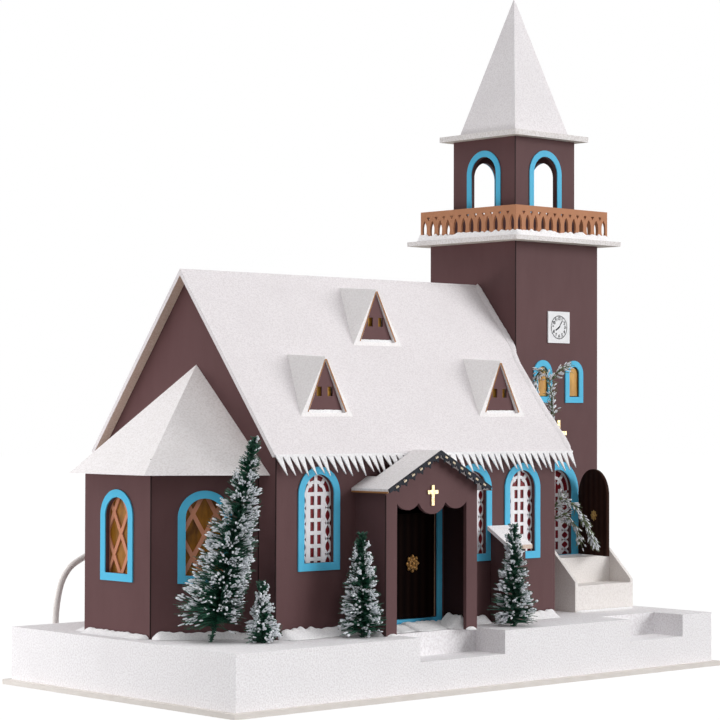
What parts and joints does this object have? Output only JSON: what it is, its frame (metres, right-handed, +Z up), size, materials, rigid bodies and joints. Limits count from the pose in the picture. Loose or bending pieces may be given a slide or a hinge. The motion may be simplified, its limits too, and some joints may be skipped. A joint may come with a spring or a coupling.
{
  "type": "light-up village church",
  "caption": "Painted paperboard Christmas village church with bell tower, gallery, porch, snowy plinth, brush trees and lamp cord.",
  "frame": {"origin": "middle of the bottom board's underside", "axes": "+X along the front towards the tower, +Y back from the porch front, +Z up"},
  "size_m": [0.408, 0.2958, 0.4466],
  "materials": {
    "bare_board": "matt",
    "snow_board": "matt, frosted with fine white grit",
    "snow_roof": "matt, frosted with fine glitter",
    "brown_board": "satin paint",
    "blue_paper": "satin paint",
    "white_paper": "matt",
    "card_white": "satin print",
    "red_cellophane": "clear gloss film",
    "amber_cellophane": "crinkled gloss film",
    "tan_card": "matt paint",
    "black_lace": "matt",
    "gilt_paper": "metallic gilt",
    "gilt_rosette": "metallic gilt",
    "dark_board": "satin paint",
    "terracotta_board": "matt paint",
    "lamp_plastic": "matt",
    "bulb_glass": "clear gloss",
    "cord_plastic": "satin",
    "plug_plastic": "satin",
    "tree_bristle": "matt, tipped with snow",
    "twig_bristle": "matt, tipped with snow"
  },
  "bodies": {
    "church": {"base_board": "bare_board", "base_box": "snow_board", "nave_walls": "brown_board", "nave_frame_1": "blue_paper", "nave_frame_2": "blue_paper", "nave_frame_3": "blue_paper", "nave_lattice_1": "white_paper", "nave_lattice_2": "white_paper", "nave_lattice_3": "white_paper", "nave_pane": "red_cellophane", "main_roof": "snow_roof", "icicles_front": "white_paper", "dormer_roof_1": "snow_roof", "dormer_roof_2": "snow_roof", "dormer_roof_3": "snow_roof", "dormer_gable_1": "brown_board", "dormer_gable_2": "brown_board", "dormer_gable_3": "brown_board", "apse_walls": "brown_board", "apse_roof": "snow_roof", "apse_frame_1": "blue_paper", "apse_frame_2": "blue_paper", "apse_lattice_1": "tan_card", "apse_lattice_2": "tan_card", "apse_pane": "amber_cellophane", "porch_walls": "brown_board", "porch_roof": "snow_roof", "porch_lace": "black_lace", "porch_cross": "gilt_paper", "porch_door_frame": "blue_paper", "tower_walls": "brown_board", "tower_door_frame": "blue_paper", "tower_lattice": "white_paper", "tower_pane": "red_cellophane", "tower_frame_1": "blue_paper", "tower_frame_2": "blue_paper", "clock_card": "card_white", "tower_cross": "gilt_paper", "gallery_deck": "snow_board", "balustrade": "terracotta_board", "belfry_walls": "brown_board", "belfry_cap": "snow_board", "spire": "snow_roof", "stairs": "snow_board", "buttress": "brown_board", "buttress_cap": "snow_board", "lamp_holder": "lamp_plastic", "bulb": "bulb_glass", "cord": "cord_plastic", "cord_coil": "cord_plastic", "plug": "plug_plastic", "tree_1": "tree_bristle", "tree_2": "tree_bristle", "tree_3": "tree_bristle", "tree_4": "tree_bristle", "tree_5": "twig_bristle"},
    "porch_leaf": {"porch_door": "dark_board", "porch_rosette": "gilt_rosette"},
    "tower_leaf": {"tower_door": "dark_board", "tower_rosette": "gilt_rosette"}
  },
  "joints": [
    {"name": "porch_door_swing", "type": "hinge", "parent": "church", "child": "porch_leaf", "pos_m": [-0.0616, -0.0639, 0.0725], "axis": [0, 0, -1], "range_deg": [0, 85]},
    {"name": "tower_door_swing", "type": "hinge", "parent": "church", "child": "tower_leaf", "pos_m": [0.1715, -0.0169, 0.098], "axis": [0, 0, 1], "range_deg": [-75, 15]}
  ]
}
